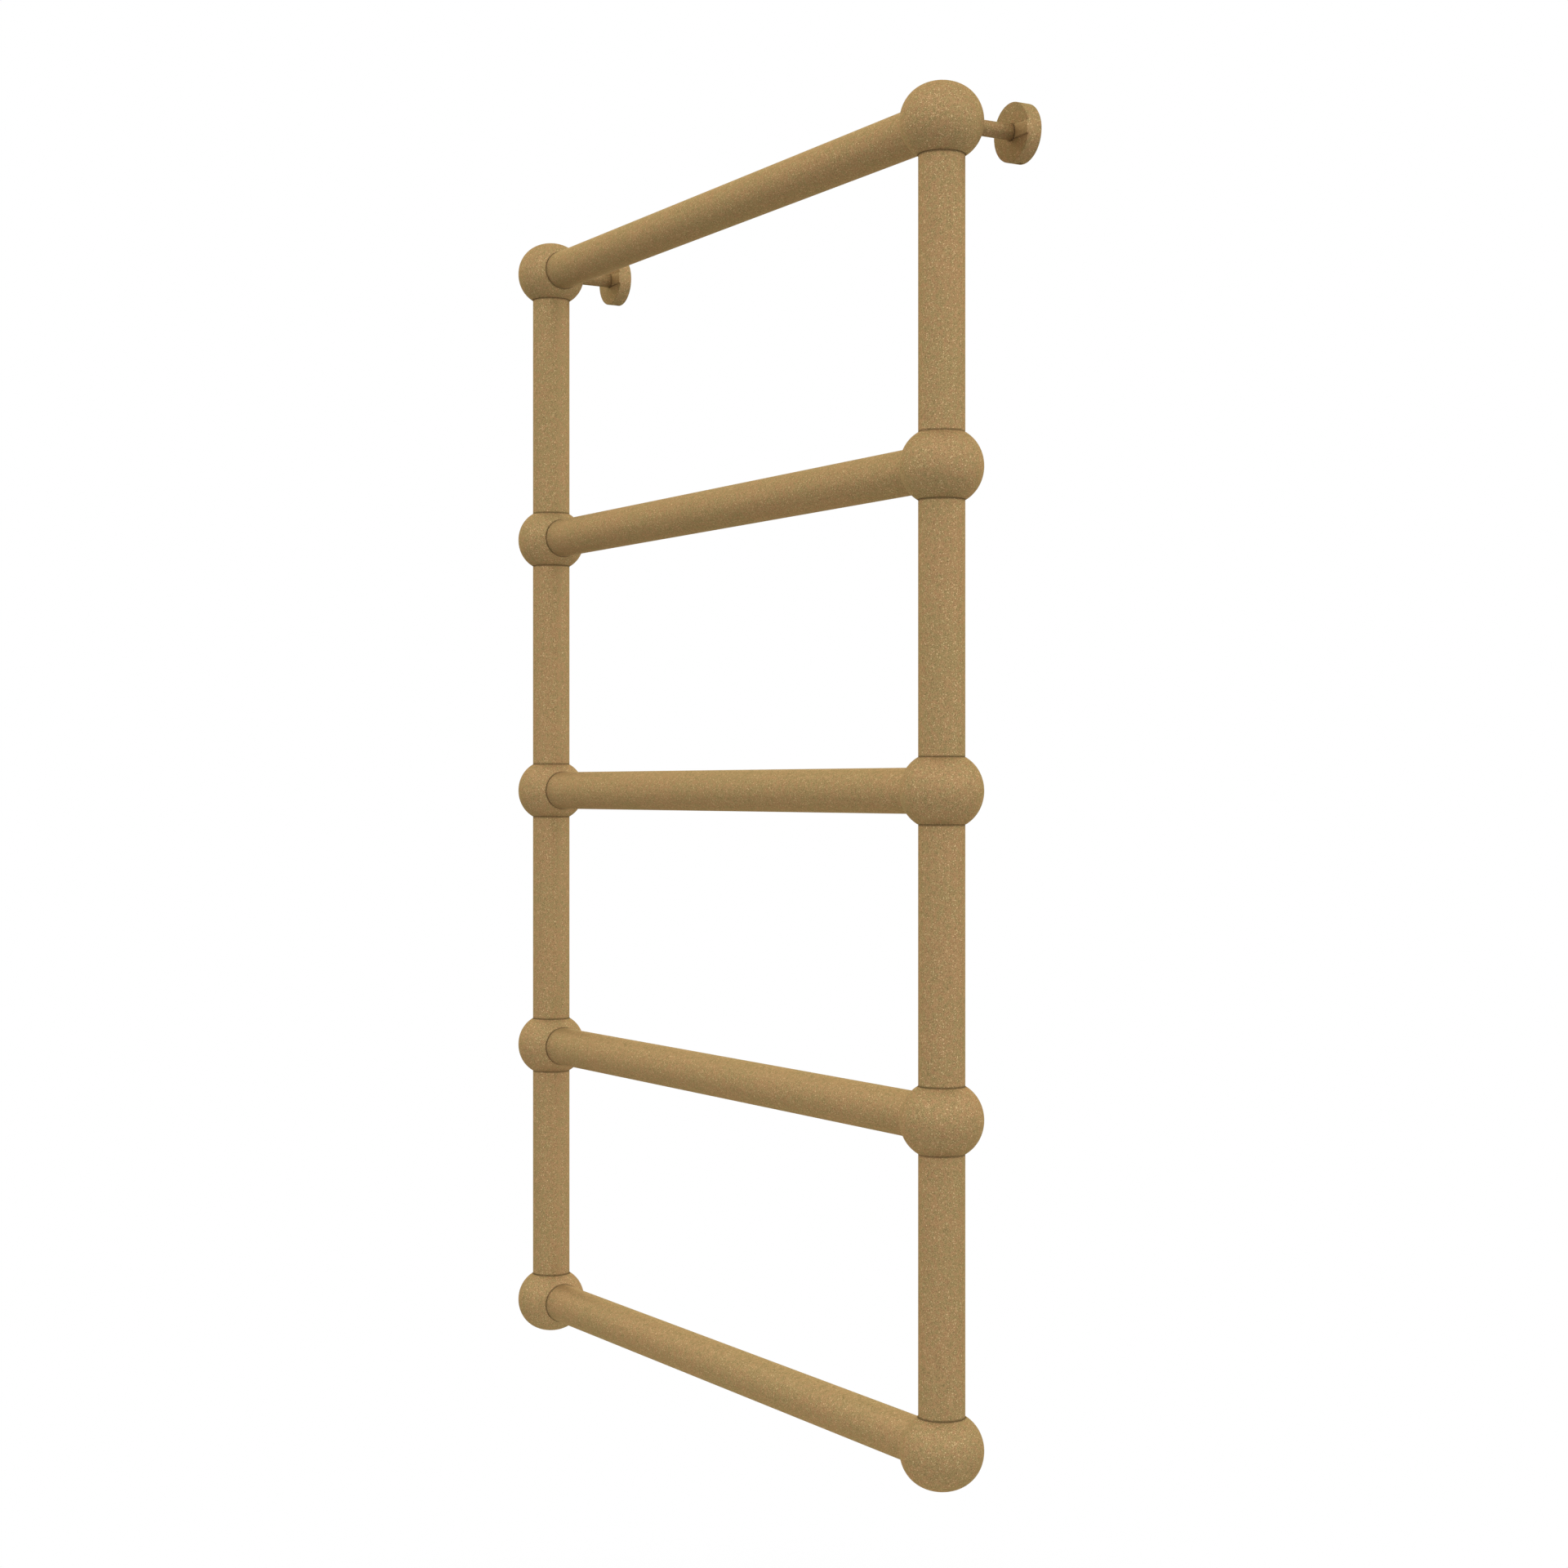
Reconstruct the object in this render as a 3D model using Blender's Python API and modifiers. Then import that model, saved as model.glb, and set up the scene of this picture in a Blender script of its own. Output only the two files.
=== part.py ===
"""Ball-jointed towel warmer rack for a wall, modelled piece by piece.

Two posts of brass balls and tubes carry five rungs. Two thin standoffs hold the
top balls off the wall, each on a round rose that hides a screwed-on bracket. A
heating cable winds through the hollow rack and is fed through one standoff.

Metres. +X runs along the rungs to the right, +Y points into the wall, +Z is up.
The origin is on the wall, midway between the roses and level with the top rung.
"""

import math

import bmesh
import bpy
from mathutils import Matrix, Vector

MM = 0.001
FIT = 0.3 * MM  # clearance between pieces that touch

# Rack
POST_SPACING = 609.6 * MM  # between the centre lines of the posts, 24 inches
RUNG_GAPS = (232.0 * MM, 218.5 * MM, 221.5 * MM, 222.5 * MM)  # between rungs, from the top
TUBE_RADIUS = 15.875 * MM  # 1 1/4 inch tube
TUBE_WALL = 1.5 * MM
BALL_RADIUS = 28.575 * MM  # 2 1/4 inch ball
BALL_FLATTENING = 1.6 * MM  # how far a ball's top and bottom are inside a true sphere
SOCKET_FLOOR = 18.5 * MM  # from a ball's centre to the step that a tube stops on
POST_PASSAGE_RADIUS = 13.0 * MM  # the drilled way between a ball's post sockets
RUNG_PASSAGE_RADIUS = 12.0 * MM  # the drilled way in from its rung socket
PASSAGE_PAST_CENTER = 14.0 * MM  # how far an end ball's post passage runs past its centre

# Wall fixing
RACK_TO_WALL = 68.0 * MM  # from the rack's centre plane to the wall
STANDOFF_RADIUS = 5.5 * MM
STANDOFF_THREAD_RADIUS = 4.6 * MM
STANDOFF_BORE_RADIUS = 3.0 * MM
STANDOFF_SEAT = 23.5 * MM  # from a top ball's centre to the standoff's front shoulder
STANDOFF_NOSE = 14.0 * MM  # from a top ball's centre to the standoff's front end
STANDOFF_TAIL = 3.2 * MM  # from the wall to the standoff's rear end
ROSE_RADIUS = 20.5 * MM
ROSE_DEPTH = 11.0 * MM
ROSE_FRONT_WALL = 3.0 * MM
ROSE_SIDE_WALL = 2.5 * MM
ROSE_EDGE = 0.4 * MM
RIB_WIDTH = 9.2 * MM  # of the rib on a rose's face
RIB_HEIGHT = 1.0 * MM
RIB_BEVEL = 0.5 * MM
RIB_END = 19.6 * MM  # from the rose's axis to the rib's outer end
BRACKET_RADIUS = 17.6 * MM
BRACKET_THICKNESS = 7.4 * MM
BRACKET_OPENING_RADIUS = 8.9 * MM
SCREW_HOLE_RADIUS = 2.1 * MM
SCREW_HEAD_RADIUS = 3.9 * MM
SCREW_SPREAD = 13.2 * MM  # from the bracket's centre to each screw hole
NUT_ACROSS_FLATS = 14.0 * MM
NUT_THICKNESS = 4.2 * MM
GRUB_RADIUS = 2.0 * MM
GRUB_HEIGHT = 3.6 * MM  # from the wall to the grub screw's axis
GRUB_TIP = 16.3 * MM  # from the rose's axis to the grub screw's tip
GRUB_LENGTH = 3.9 * MM
GRUB_KEY = 2.0 * MM  # hexagon socket across its flats
GRUB_KEY_DEPTH = 1.6 * MM

# Heating
CABLE_RADIUS = 3.25 * MM
CABLE_BEND = 30.0 * MM
LEAD_RADIUS = 2.5 * MM
LEAD_BEND = 13.5 * MM
LEAD_REACH = 45.0 * MM  # how far the lead runs into the top rung from the post's axis
SLEEVE_RADIUS = 4.6 * MM
SLEEVE_LENGTH = 36.0 * MM
END_CAP_RADIUS = 4.4 * MM
END_CAP_LENGTH = 22.0 * MM
CABLE_END = 60.0 * MM  # from the left post's axis to the cable's sealed end, in the last rung

# Facets round a turned piece
BALL_STEPS = 24
BALL_RINGS = 14
TUBE_STEPS = 24
SMALL_STEPS = 12
BEND_STEPS = 6
SHARP_ANGLE = math.radians(35)

SIDES = {"left": -1, "right": 1}
RACK_Y = -RACK_TO_WALL
RUNG_HEIGHTS = [-sum(RUNG_GAPS[:count]) for count in range(len(RUNG_GAPS) + 1)]
LAST = len(RUNG_HEIGHTS)
UP = Vector((0, 0, 1))
DOWN = -UP
RIGHT = Vector((1, 0, 0))
TO_WALL = Vector((0, 1, 0))

BRASS = (0.56, 0.42, 0.23)
STEEL = (0.55, 0.55, 0.54)


def clear_scene():
    """Remove whatever the file holds, so the rack stands alone."""
    for item in list(bpy.data.objects):
        bpy.data.objects.remove(item, do_unlink=True)


def new_collection(name):
    """Make a collection and hang it in the scene."""
    collection = bpy.data.collections.new(name)
    bpy.context.scene.collection.children.link(collection)
    return collection


def new_material(name, color, roughness, metallic):
    """Make a plain surface of one colour."""
    material = bpy.data.materials.new(name)
    material.use_nodes = True
    surface = material.node_tree.nodes["Principled BSDF"]
    surface.inputs["Base Color"].default_value = (*color, 1.0)
    surface.inputs["Roughness"].default_value = roughness
    surface.inputs["Metallic"].default_value = metallic
    return material


def turned(name, profile, steps, axis, place):
    """Turn a profile of (radius, distance along the axis) into a solid.

    The profile starts at the far end of the axis and runs down its outer side.
    One that doesn't start on the axis is closed into a ring.
    """
    mesh = bpy.data.meshes.new(name)
    edges = [(index, index + 1) for index in range(len(profile) - 1)]
    if profile[0][0] > 0:
        edges.append((len(profile) - 1, 0))
    mesh.from_pydata([(radius, 0, along) for radius, along in profile], edges, [])
    piece = bpy.data.objects.new(name, mesh)
    piece.rotation_euler = axis.to_track_quat("Z", "Y").to_euler()
    piece.location = place
    screw = piece.modifiers.new("turn", "SCREW")
    screw.steps = steps
    screw.render_steps = steps
    screw.use_merge_vertices = True
    screw.merge_threshold = 0.00001
    return piece


def rod_profile(radius, low, high):
    """The profile of a plain solid cylinder."""
    return [(0, high), (radius, high), (radius, low), (0, low)]


def cutter(name, profile, steps, axis, place):
    """A turned solid that only cuts."""
    tool = turned(name, profile, steps, axis, place)
    tool.hide_render = True
    tool.display_type = "WIRE"
    cutters.objects.link(tool)
    return tool


def cut(piece, tool):
    """Take the tool's shape out of the piece."""
    boolean = piece.modifiers.new(tool.name, "BOOLEAN")
    boolean.operation = "DIFFERENCE"
    boolean.solver = "EXACT"
    boolean.object = tool


def join(piece, block):
    """Make a block part of the piece."""
    boolean = piece.modifiers.new(block.name, "BOOLEAN")
    boolean.operation = "UNION"
    boolean.solver = "EXACT"
    boolean.object = block


def add(piece, material):
    """Put a piece in the rack with its finish."""
    piece.data.materials.append(material)
    rack.objects.link(piece)
    return piece


def settle(piece):
    """Make the cuts and turns final, and shade round surfaces smooth up to their edges."""
    bpy.context.view_layer.update()
    evaluated = piece.evaluated_get(bpy.context.evaluated_depsgraph_get())
    mesh = bpy.data.meshes.new_from_object(evaluated)
    piece.modifiers.clear()
    piece.data = mesh
    mesh.name = piece.name
    mesh.shade_smooth()
    mesh.set_sharp_from_angle(angle=SHARP_ANGLE)


def half_socket(passage_radius):
    """The stepped socket and the passage behind it, on its own side of the ball's centre."""
    beyond = 2 * BALL_RADIUS
    mouth = TUBE_RADIUS + FIT
    return [(0, beyond), (mouth, beyond), (mouth, SOCKET_FLOOR), (passage_radius, SOCKET_FLOOR)]


def post_socket_profile(goes_through):
    """Two sockets and the passage between them, or one socket with a blind passage."""
    near_half = half_socket(POST_PASSAGE_RADIUS)
    if goes_through:
        return near_half + [(radius, -along) for radius, along in reversed(near_half)]
    return near_half + [(POST_PASSAGE_RADIUS, -PASSAGE_PAST_CENTER), (0, -PASSAGE_PAST_CENTER)]


def ball_joint(name, center, inward, post_ends, has_standoff, material):
    """A ball with a stepped socket for each tube, all meeting in one hollow.

    It is slightly flattened: a height z on the sphere loses the flattening times (z / radius)
    cubed, so the top and bottom lose all of it and the middle nothing.
    """
    mesh = bpy.data.meshes.new(name)
    shape = bmesh.new()
    bmesh.ops.create_uvsphere(
        shape, u_segments=BALL_STEPS, v_segments=BALL_RINGS, radius=BALL_RADIUS
    )
    for vert in shape.verts:
        vert.co.z -= BALL_FLATTENING * (vert.co.z / BALL_RADIUS) ** 3
    shape.to_mesh(mesh)
    shape.free()
    ball = add(bpy.data.objects.new(name, mesh), material)
    ball.location = center
    post_socket = post_socket_profile(len(post_ends) == 2)
    cut(ball, cutter(f"{name}_post_socket", post_socket, TUBE_STEPS, post_ends[0], center))
    rung_socket = half_socket(RUNG_PASSAGE_RADIUS) + [(RUNG_PASSAGE_RADIUS, 0), (0, 0)]
    cut(ball, cutter(f"{name}_rung_socket", rung_socket, TUBE_STEPS, inward, center))
    if has_standoff:
        beyond = 2 * BALL_RADIUS
        standoff_hole = [
            (0, beyond),
            (STANDOFF_RADIUS + FIT, beyond),
            (STANDOFF_RADIUS + FIT, STANDOFF_SEAT),
            (STANDOFF_THREAD_RADIUS + FIT, STANDOFF_SEAT),
            (STANDOFF_THREAD_RADIUS + FIT, 0),
            (0, 0),
        ]
        cut(ball, cutter(f"{name}_back", standoff_hole, SMALL_STEPS, TO_WALL, center))


def build_balls(material):
    """Five balls a side: the ends take one post tube, the others take two."""
    for side, sign in SIDES.items():
        for number, height in enumerate(RUNG_HEIGHTS, 1):
            post_ends = [UP] * (number > 1) + [DOWN] * (number < LAST)
            center = Vector((sign * POST_SPACING / 2, RACK_Y, height))
            name = f"ball_joint_{side}_{number}"
            ball_joint(name, center, -sign * RIGHT, post_ends, number == 1, material)


def tube(name, start, end, material):
    """A length of tube between two ball centres, stopping in their sockets."""
    run = (end - start).length
    low = SOCKET_FLOOR + FIT
    high = run - low
    inner = TUBE_RADIUS - TUBE_WALL
    profile = [(TUBE_RADIUS, high), (TUBE_RADIUS, low), (inner, low), (inner, high)]
    add(turned(name, profile, TUBE_STEPS, (end - start).normalized(), start), material)


def build_post_tubes(material):
    """Four short tubes a side, between the balls."""
    for side, sign in SIDES.items():
        for number in range(1, LAST):
            low = Vector((sign * POST_SPACING / 2, RACK_Y, RUNG_HEIGHTS[number]))
            high = Vector((low.x, RACK_Y, RUNG_HEIGHTS[number - 1]))
            tube(f"post_tube_{side}_{number}", low, high, material)


def build_rungs(material):
    """Five rungs from the left balls to the right ones."""
    for number, height in enumerate(RUNG_HEIGHTS, 1):
        left = Vector((-POST_SPACING / 2, RACK_Y, height))
        right = Vector((POST_SPACING / 2, RACK_Y, height))
        tube(f"rung_tube_{number}", left, right, material)


def standoff(name, foot, material):
    """A hollow rod, stepped down to a thread where it enters the ball and the rose."""
    nose = RACK_TO_WALL - STANDOFF_NOSE
    seat = RACK_TO_WALL - STANDOFF_SEAT - FIT
    shoulder = ROSE_DEPTH + FIT
    profile = [
        (STANDOFF_THREAD_RADIUS, nose),
        (STANDOFF_THREAD_RADIUS, seat),
        (STANDOFF_RADIUS, seat),
        (STANDOFF_RADIUS, shoulder),
        (STANDOFF_THREAD_RADIUS, shoulder),
        (STANDOFF_THREAD_RADIUS, STANDOFF_TAIL),
        (STANDOFF_BORE_RADIUS, STANDOFF_TAIL),
        (STANDOFF_BORE_RADIUS, nose),
    ]
    add(turned(name, profile, SMALL_STEPS, -TO_WALL, foot), material)


def rose_rib(name, foot):
    """A low bevelled rib along a rose's face, from the standoff to near the rose's right edge.

    Each station across the rib is a rectangle, cut short by the curves of standoff and rose.
    """
    half = RIB_WIDTH / 2
    root = ROSE_DEPTH - RIB_HEIGHT
    top = ROSE_DEPTH + RIB_HEIGHT
    stations = [(aside, top) for aside in (-half / 2, 0, half / 2)]
    stations = [(RIB_BEVEL - half, top), *stations, (half - RIB_BEVEL, top)]
    stations = [(-half, top - RIB_BEVEL), *stations, (half, top - RIB_BEVEL)]
    points = []
    for aside, height in stations:
        start = math.sqrt((STANDOFF_RADIUS + FIT) ** 2 - aside**2)
        end = math.sqrt(RIB_END**2 - aside**2)
        corners = ((start, root), (start, height), (end, height), (end, root))
        points += [foot + Vector((along, -depth, aside)) for along, depth in corners]
    last = len(points) - 4
    faces = [(0, 1, 2, 3), (last, last + 1, last + 2, last + 3)]
    for first in range(0, last, 4):
        for corner in range(4):
            after = (corner + 1) % 4
            faces.append((first + corner, first + after, first + after + 4, first + corner + 4))
    mesh = bpy.data.meshes.new(name)
    mesh.from_pydata(points, [], faces)
    shape = bmesh.new()
    shape.from_mesh(mesh)
    bmesh.ops.recalc_face_normals(shape, faces=shape.faces)
    shape.to_mesh(mesh)
    shape.free()
    block = bpy.data.objects.new(name, mesh)
    block.hide_render = True
    cutters.objects.link(block)
    return block


def rose(name, foot, material):
    """A round cup, open to the wall, with a rib on its face.

    It has a hole for the standoff and one for its grub screw.
    """
    inner = ROSE_RADIUS - ROSE_SIDE_WALL
    hole = STANDOFF_THREAD_RADIUS + FIT
    profile = [
        (hole, ROSE_DEPTH),
        (ROSE_RADIUS - ROSE_EDGE, ROSE_DEPTH),
        (ROSE_RADIUS, ROSE_DEPTH - ROSE_EDGE),
        (ROSE_RADIUS, 0),
        (inner, 0),
        (inner, ROSE_DEPTH - ROSE_FRONT_WALL),
        (hole, ROSE_DEPTH - ROSE_FRONT_WALL),
    ]
    cup = add(turned(name, profile, TUBE_STEPS, -TO_WALL, foot), material)
    join(cup, rose_rib(f"{name}_rib", foot))
    axis_point = foot - TO_WALL * GRUB_HEIGHT
    drill = rod_profile(GRUB_RADIUS + FIT, inner - 2 * MM, ROSE_RADIUS + 2 * MM)
    cut(cup, cutter(f"{name}_grub_hole", drill, SMALL_STEPS, DOWN, axis_point))


def bracket(name, foot, material):
    """A thick ring for the wall, with two countersunk screw holes and a pit for the grub screw."""
    profile = [
        (BRACKET_OPENING_RADIUS, BRACKET_THICKNESS),
        (BRACKET_RADIUS, BRACKET_THICKNESS),
        (BRACKET_RADIUS, 0),
        (BRACKET_OPENING_RADIUS, 0),
    ]
    ring = add(turned(name, profile, TUBE_STEPS, -TO_WALL, foot), material)
    head = BRACKET_THICKNESS + MM
    screw_hole = [
        (0, head),
        (SCREW_HEAD_RADIUS, head),
        (SCREW_HEAD_RADIUS, BRACKET_THICKNESS - MM),
        (SCREW_HOLE_RADIUS, BRACKET_THICKNESS - MM - SCREW_HEAD_RADIUS + SCREW_HOLE_RADIUS),
        (SCREW_HOLE_RADIUS, -MM),
        (0, -MM),
    ]
    for number, sign in enumerate((-1, 1), 1):
        center = foot + sign * SCREW_SPREAD * RIGHT
        cut(ring, cutter(f"{name}_screw_{number}", screw_hole, SMALL_STEPS, -TO_WALL, center))
    axis_point = foot - TO_WALL * GRUB_HEIGHT
    pit = rod_profile(GRUB_RADIUS + FIT, GRUB_TIP - FIT, BRACKET_RADIUS + 2 * MM)
    cut(ring, cutter(f"{name}_grub_pit", pit, SMALL_STEPS, DOWN, axis_point))


def nut(name, foot, material):
    """A hexagon nut on the standoff's tail, inside the rose."""
    mesh = bpy.data.meshes.new(name)
    shape = bmesh.new()
    corner = NUT_ACROSS_FLATS / 2 / math.cos(math.pi / 6)
    bmesh.ops.create_cone(
        shape,
        cap_ends=True,
        segments=6,
        radius1=corner,
        radius2=corner,
        depth=NUT_THICKNESS,
        matrix=Matrix.Rotation(math.pi / 2, 4, "X"),
    )
    shape.to_mesh(mesh)
    shape.free()
    hexagon = add(bpy.data.objects.new(name, mesh), material)
    inner_face = ROSE_DEPTH - ROSE_FRONT_WALL - FIT
    hexagon.location = foot - TO_WALL * (inner_face - NUT_THICKNESS / 2)
    thread = rod_profile(STANDOFF_THREAD_RADIUS + FIT, -NUT_THICKNESS, NUT_THICKNESS)
    cut(hexagon, cutter(f"{name}_thread", thread, SMALL_STEPS, TO_WALL, hexagon.location))


def grub_screw(name, foot, material):
    """A headless screw with a hexagon socket, driven up through the rose into the bracket."""
    axis_point = foot - TO_WALL * GRUB_HEIGHT
    end = GRUB_TIP + GRUB_LENGTH
    screw = add(
        turned(name, rod_profile(GRUB_RADIUS, GRUB_TIP, end), SMALL_STEPS, DOWN, axis_point),
        material,
    )
    key_radius = GRUB_KEY / 2 / math.cos(math.pi / 6)
    key = rod_profile(key_radius, end - GRUB_KEY_DEPTH, end + MM)
    cut(screw, cutter(f"{name}_socket", key, 6, DOWN, axis_point))


def build_wall_fixings(materials):
    """A standoff, rose, bracket, nut and grub screw behind each top ball."""
    for side, sign in SIDES.items():
        foot = Vector((sign * POST_SPACING / 2, 0, 0))
        standoff(f"standoff_{side}", foot, materials["standoff"])
        rose(f"wall_rose_{side}", foot, materials["rose"])
        bracket(f"wall_bracket_{side}", foot, materials["bracket"])
        nut(f"standoff_nut_{side}", foot, materials["nut"])
        grub_screw(f"rose_grub_screw_{side}", foot, materials["grub_screw"])


def rounded_route(corners, bend):
    """The points of a route whose every corner is a quarter circle of radius bend."""
    points = [corners[0]]
    for before, corner, after in zip(corners, corners[1:], corners[2:]):
        back = (before - corner).normalized()
        ahead = (after - corner).normalized()
        center = corner + (back + ahead) * bend
        for step in range(BEND_STEPS + 1):
            angle = step / BEND_STEPS * math.pi / 2
            points.append(center - bend * (ahead * math.cos(angle) + back * math.sin(angle)))
    return points + [corners[-1]]


def cable(name, corners, radius, bend, material):
    """A round cable along a route, held inside the rack all the way."""
    points = rounded_route(corners, bend)
    curve = bpy.data.curves.new(name, "CURVE")
    curve.dimensions = "3D"
    curve.bevel_depth = radius
    curve.bevel_resolution = 2
    curve.use_fill_caps = True
    spline = curve.splines.new("POLY")
    spline.points.add(len(points) - 1)
    for slot, point in zip(spline.points, points):
        slot.co = (*point, 1)
    add(bpy.data.objects.new(name, curve), material)


def build_heating(materials):
    """The lead in through the right standoff, and the cable that winds down the rack from it."""
    post = POST_SPACING / 2
    sleeve_start = post - LEAD_REACH - FIT
    cable_start = sleeve_start - SLEEVE_LENGTH - FIT
    lead_corners = [
        Vector((post, -2 * FIT, 0)),
        Vector((post, RACK_Y, 0)),
        Vector((post - LEAD_REACH, RACK_Y, 0)),
    ]
    cable("supply_lead", lead_corners, LEAD_RADIUS, LEAD_BEND, materials["supply_lead"])
    sleeve = rod_profile(SLEEVE_RADIUS, 0, SLEEVE_LENGTH)
    sleeve_place = Vector((sleeve_start, RACK_Y, 0))
    add(
        turned("cable_joint_sleeve", sleeve, SMALL_STEPS, -RIGHT, sleeve_place),
        materials["joint_sleeve"],
    )
    corners = [Vector((cable_start, RACK_Y, 0))]
    side = -1
    for above, below in zip(RUNG_HEIGHTS, RUNG_HEIGHTS[1:]):
        corners.append(Vector((side * post, RACK_Y, above)))
        corners.append(Vector((side * post, RACK_Y, below)))
        side = -side
    sealed_end = side * (post - CABLE_END)
    corners.append(Vector((sealed_end, RACK_Y, RUNG_HEIGHTS[-1])))
    cable("heating_cable", corners, CABLE_RADIUS, CABLE_BEND, materials["heating_cable"])
    cap = rod_profile(END_CAP_RADIUS, FIT, END_CAP_LENGTH)
    add(
        turned("cable_end_cap", cap, SMALL_STEPS, side * RIGHT, corners[-1]),
        materials["end_cap"],
    )


clear_scene()
rack = new_collection("towel_warmer_rack")
cutters = new_collection("cutters")

finishes = {
    "ball": new_material("ball_brass", BRASS, 0.42, 1.0),
    "post_tube": new_material("post_tube_brass", BRASS, 0.42, 1.0),
    "rung_tube": new_material("rung_tube_brass", BRASS, 0.42, 1.0),
    "standoff": new_material("standoff_brass", BRASS, 0.42, 1.0),
    "rose": new_material("rose_brass", BRASS, 0.42, 1.0),
    "bracket": new_material("bracket_steel", STEEL, 0.4, 1.0),
    "nut": new_material("nut_brass", (0.75, 0.6, 0.32), 0.35, 1.0),
    "grub_screw": new_material("grub_screw_brass", BRASS, 0.42, 1.0),
    "heating_cable": new_material("cable_silicone", (0.45, 0.05, 0.03), 0.6, 0.0),
    "supply_lead": new_material("lead_silicone", (0.75, 0.74, 0.7), 0.6, 0.0),
    "joint_sleeve": new_material("sleeve_shrink", (0.02, 0.02, 0.02), 0.5, 0.0),
    "end_cap": new_material("cap_silicone", (0.03, 0.03, 0.03), 0.5, 0.0),
}

build_balls(finishes["ball"])
build_post_tubes(finishes["post_tube"])
build_rungs(finishes["rung_tube"])
build_wall_fixings(finishes)
build_heating(finishes)
for piece in rack.objects:
    if piece.type == "MESH":
        settle(piece)
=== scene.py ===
# %% [markdown]
# # A ball-jointed towel warmer in satin brass
#
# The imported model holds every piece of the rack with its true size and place, but with
# flat facets and plain colours. This lesson gives each piece its fine surface and its
# finish, without moving anything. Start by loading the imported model, because every later
# size is read from it.

# %% Load the frame
import math

import bmesh
import bpy
import numpy as np
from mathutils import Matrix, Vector


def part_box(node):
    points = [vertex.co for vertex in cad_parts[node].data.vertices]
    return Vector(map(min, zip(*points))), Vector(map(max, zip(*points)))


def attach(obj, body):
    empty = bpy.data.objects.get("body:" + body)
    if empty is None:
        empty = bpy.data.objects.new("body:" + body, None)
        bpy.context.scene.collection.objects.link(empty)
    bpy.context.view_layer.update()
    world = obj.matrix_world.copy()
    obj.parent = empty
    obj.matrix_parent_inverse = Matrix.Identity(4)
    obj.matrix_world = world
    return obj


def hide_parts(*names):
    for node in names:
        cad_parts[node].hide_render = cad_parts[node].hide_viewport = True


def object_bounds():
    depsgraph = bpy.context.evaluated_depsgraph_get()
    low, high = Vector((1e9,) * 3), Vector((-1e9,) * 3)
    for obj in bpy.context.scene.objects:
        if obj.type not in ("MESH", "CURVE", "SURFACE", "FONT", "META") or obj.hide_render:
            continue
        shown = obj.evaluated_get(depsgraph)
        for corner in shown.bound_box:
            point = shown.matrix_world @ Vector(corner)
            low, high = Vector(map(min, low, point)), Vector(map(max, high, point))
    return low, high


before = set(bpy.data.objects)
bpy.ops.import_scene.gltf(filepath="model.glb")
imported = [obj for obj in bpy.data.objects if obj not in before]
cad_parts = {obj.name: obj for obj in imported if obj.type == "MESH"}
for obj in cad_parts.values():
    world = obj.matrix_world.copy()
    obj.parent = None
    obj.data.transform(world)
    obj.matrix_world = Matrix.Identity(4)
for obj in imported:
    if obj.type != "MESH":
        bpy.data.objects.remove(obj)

cad_low, cad_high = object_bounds()
print("The rack is", [round(side * 1000, 1) for side in cad_high - cad_low], "mm")

# %% [markdown]
# ## The sizes that everything hangs on
#
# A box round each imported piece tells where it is. A rung's box gives its height, its
# radius and its ends. A post tube's box gives the post's axis. The balls are cut by their
# sockets, so their radius comes from the one side that is whole, the outer one, and the
# box of a top ball tells how far its top lies inside a true sphere. What no box can show,
# such as the thickness of a tube's wall, is named here in millimetres.

# %% Sizes from the frame
MM = 0.001
SIDES = {"left": -1, "right": 1}


def middle(node):
    """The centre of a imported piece's box."""
    low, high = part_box(node)
    return (low + high) / 2


def half_span(node, axis):
    """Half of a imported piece's size along one axis."""
    low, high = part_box(node)
    return (high[axis] - low[axis]) / 2


tube_radius = half_span("rung_tube_1", 2)
rack_y = middle("rung_tube_1").y
post_x = middle("post_tube_right_1").x
rung_count = 5
rung_heights = [middle(f"rung_tube_{number}").z for number in range(1, rung_count + 1)]
rack_middle = (0, rack_y, rung_heights[rung_count // 2])
ball_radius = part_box("ball_joint_right_3")[1].x - post_x
ball_flattening = ball_radius - (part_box("ball_joint_right_1")[1].z - rung_heights[0])
socket_floor = post_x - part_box("rung_tube_1")[1].x
print("tube radius", round(tube_radius / MM, 2), "ball radius", round(ball_radius / MM, 2),
      "flattened by", round(ball_flattening / MM, 2))

# %% Sizes that no box shows
CLEARANCE = 0.3 * MM
TUBE_WALL = 1.5 * MM
POST_PASSAGE = 13.0 * MM
RUNG_PASSAGE = 12.0 * MM
BLIND_END = 14.0 * MM
THREAD_RADIUS = 4.6 * MM
LEAD_BORE = 3.0 * MM
MOUTH_GAP = 0.10 * MM
MOUTH_EDGE = 0.25 * MM
RIB_HEIGHT = 1.0 * MM
rose_depth = -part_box("wall_rose_right")[0].y - RIB_HEIGHT

# %% [markdown]
# ## The camera
#
# The rack is seen from its right and level with the middle rung, through a lens a little
# longer than normal. A level camera keeps the posts upright. The tiny upward shift of the
# picture stands for a horizon just under its centre.

# %% Camera
CAMERA_TURN = math.radians(59.484)
CAMERA_LENS = 60.07
CAMERA_SENSOR = 36
CAMERA_SHIFT = 0.0032
CAMERA_PLACE = (2.9004, -1.617, 0.002)
post_spacing = 2 * post_x


def placed(name, data):
    """A new object in the scene, for a mesh, a lamp or a camera."""
    thing = bpy.data.objects.new(name, data)
    bpy.context.scene.collection.objects.link(thing)
    return thing


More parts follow.
